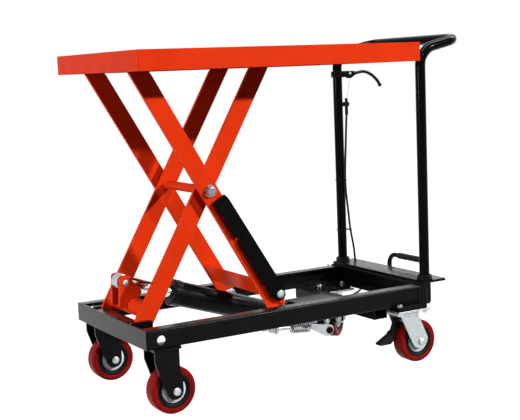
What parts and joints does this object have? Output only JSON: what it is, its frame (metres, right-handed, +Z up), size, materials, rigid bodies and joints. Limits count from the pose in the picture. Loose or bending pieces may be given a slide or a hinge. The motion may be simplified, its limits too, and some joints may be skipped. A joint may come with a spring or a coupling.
{
  "type": "scissor lift table",
  "caption": "Hand-pumped scissor lift table with a red platform and arms, black chassis on casters, push handle with release lever, foot pedal and ram.",
  "frame": {"origin": "on the floor under the middle of the cart's overall box", "axes": "+X towards the push handle, +Y towards the far side with the release lever, +Z up"},
  "size_m": [0.8738, 0.45, 0.7778],
  "materials": {
    "red_paint": "glossy powder coat",
    "black_paint": "glossy powder coat",
    "zinc_plate": "bright zinc plating",
    "chrome_rod": "hard chrome",
    "red_polyurethane": "cast polyurethane, satin",
    "black_rubber": "satin rubber and vinyl"
  },
  "bodies": {
    "chassis": {"front_cross_channel": "black_paint", "rail_near": "black_paint", "rail_far": "black_paint", "rear_beam": "black_paint", "rear_deck": "black_paint", "push_handle": "black_paint", "lever_bracket": "black_paint", "cable_adjuster": "zinc_plate", "release_cable": "black_rubber", "pivot_lug_near": "black_paint", "pivot_lug_far": "black_paint", "pump_channel": "black_paint", "pump_block": "black_paint", "spring_anchor": "black_paint", "ram_base_pin": "zinc_plate", "front_fork_near": "black_paint", "front_fork_far": "black_paint", "front_axle_near": "zinc_plate", "front_axle_far": "zinc_plate", "swivel_plate_near": "zinc_plate", "swivel_plate_far": "zinc_plate"},
    "inner_arms": {"inner_arm_near": "red_paint", "inner_arm_far": "red_paint", "lower_cross_tube": "red_paint", "crank_plate_near": "red_paint", "crank_plate_far": "red_paint", "crank_pin": "zinc_plate", "centre_shaft": "red_paint", "centre_nut_near": "zinc_plate", "centre_nut_far": "zinc_plate"},
    "outer_arms": {"outer_arm_near": "red_paint", "outer_arm_far": "red_paint", "cross_plate": "red_paint", "prop_bolt": "zinc_plate"},
    "table": {"platform": "red_paint", "table_lug_near": "red_paint", "table_lug_far": "red_paint"},
    "ram_barrel": {"ram_barrel": "black_paint"},
    "ram_rod": {"ram_rod": "chrome_rod"},
    "prop": {"prop_bar": "black_paint"},
    "pedal": {"foot_pedal": "zinc_plate", "pedal_sleeve": "black_rubber", "pedal_link": "zinc_plate", "pedal_spring": "zinc_plate"},
    "release": {"release_lever": "black_paint"},
    "top_roller_near": {"top_roller_near": "zinc_plate"},
    "base_roller_near": {"base_roller_near": "zinc_plate"},
    "front_wheel_near": {"front_wheel_near": "red_polyurethane"},
    "rear_swivel_near": {"rear_fork_near": "zinc_plate", "rear_axle_near": "zinc_plate"},
    "rear_wheel_near": {"rear_wheel_near": "red_polyurethane"},
    "brake_near": {"brake_pedal_near": "black_paint"},
    "top_roller_far": {"top_roller_far": "zinc_plate"},
    "base_roller_far": {"base_roller_far": "zinc_plate"},
    "front_wheel_far": {"front_wheel_far": "red_polyurethane"},
    "rear_swivel_far": {"rear_fork_far": "zinc_plate", "rear_axle_far": "zinc_plate"},
    "rear_wheel_far": {"rear_wheel_far": "red_polyurethane"},
    "brake_far": {"brake_pedal_far": "black_paint"}
  },
  "joints": [
    {"name": "lift", "type": "hinge", "parent": "chassis", "child": "inner_arms", "pos_m": [-0.40595, 0, 0.167], "axis": [0, 1, 0], "range_deg": [0, 48.74]},
    {"name": "cross", "type": "hinge", "parent": "inner_arms", "child": "outer_arms", "pos_m": [-0.2387, 0, 0.4546], "axis": [0, 1, 0], "range_deg": [-97.48, 0]},
    {"name": "table_level", "type": "hinge", "parent": "outer_arms", "child": "table", "pos_m": [-0.40595, 0, 0.74221], "axis": [0, 1, 0], "range_deg": [0, 48.74]},
    {"name": "ram_swing", "type": "hinge", "parent": "chassis", "child": "ram_barrel", "pos_m": [-0.00695, 0, 0.128], "axis": [0, 1, 0], "range_deg": [-0.65, 0.05]},
    {"name": "ram_stroke", "type": "slide", "parent": "ram_barrel", "child": "ram_rod", "axis": [-0.9479, 0, 0.3184], "range_m": [-0.0785, 0.0005]},
    {"name": "top_roller_near_spin", "type": "hinge", "parent": "inner_arms", "child": "top_roller_near", "pos_m": [-0.07144, -0.103, 0.74221], "axis": [0, 1, 0], "continuous": true},
    {"name": "base_roller_near_spin", "type": "hinge", "parent": "outer_arms", "child": "base_roller_near", "pos_m": [-0.07144, -0.171, 0.167], "axis": [0, 1, 0], "continuous": true},
    {"name": "top_roller_far_spin", "type": "hinge", "parent": "inner_arms", "child": "top_roller_far", "pos_m": [-0.07144, 0.103, 0.74221], "axis": [0, 1, 0], "continuous": true},
    {"name": "base_roller_far_spin", "type": "hinge", "parent": "outer_arms", "child": "base_roller_far", "pos_m": [-0.07144, 0.171, 0.167], "axis": [0, 1, 0], "continuous": true},
    {"name": "prop", "type": "hinge", "parent": "outer_arms", "child": "prop", "pos_m": [-0.07799, -0.13, 0.20889], "axis": [0, 1, 0], "range_deg": [-25, 0]},
    {"name": "pedal", "type": "hinge", "parent": "chassis", "child": "pedal", "pos_m": [0.09605, 0, 0.0864], "axis": [0, 1, 0], "range_deg": [0, 15], "stiffness_Nm_per_rad": 10, "springref_deg": -22.92, "deforming": ["pedal_spring"]},
    {"name": "release", "type": "hinge", "parent": "chassis", "child": "release", "pos_m": [0.33105, 0.158, 0.692], "axis": [0, 1, 0], "range_deg": [-15, 0], "stiffness_Nm_per_rad": 0.5, "springref_deg": 14.32},
    {"name": "front_wheel_near_spin", "type": "hinge", "parent": "chassis", "child": "front_wheel_near", "pos_m": [-0.37275, -0.161, 0.051], "axis": [0, 1, 0], "continuous": true},
    {"name": "front_wheel_far_spin", "type": "hinge", "parent": "chassis", "child": "front_wheel_far", "pos_m": [-0.37275, 0.161, 0.051], "axis": [0, 1, 0], "continuous": true},
    {"name": "rear_swivel_near", "type": "hinge", "parent": "chassis", "child": "rear_swivel_near", "pos_m": [0.24505, -0.1535, 0.12], "axis": [0, 0, 1], "continuous": true},
    {"name": "rear_wheel_near_spin", "type": "hinge", "parent": "rear_swivel_near", "child": "rear_wheel_near", "pos_m": [0.28205, -0.1535, 0.051], "axis": [0, 1, 0], "continuous": true},
    {"name": "brake_near", "type": "hinge", "parent": "rear_swivel_near", "child": "brake_near", "pos_m": [0.24305, -0.1535, 0.103], "axis": [0, 1, 0], "range_deg": [0, 12]},
    {"name": "rear_swivel_far", "type": "hinge", "parent": "chassis", "child": "rear_swivel_far", "pos_m": [0.24505, 0.1535, 0.12], "axis": [0, 0, 1], "continuous": true},
    {"name": "rear_wheel_far_spin", "type": "hinge", "parent": "rear_swivel_far", "child": "rear_wheel_far", "pos_m": [0.27339, 0.17728, 0.051], "axis": [-0.6428, 0.766, 0], "continuous": true},
    {"name": "brake_far", "type": "hinge", "parent": "rear_swivel_far", "child": "brake_far", "pos_m": [0.24352, 0.15221, 0.103], "axis": [-0.6428, 0.766, 0], "range_deg": [0, 12]}
  ],
  "couplings": [
    {"joint": "cross", "follows": "lift", "ratio": -2},
    {"joint": "table_level", "follows": "lift", "ratio": 1},
    {"joint": "ram_swing", "follows": "lift", "ratio": -0.01176},
    {"joint": "ram_stroke", "follows": "lift", "m_per_rad": -0.0912}
  ]
}
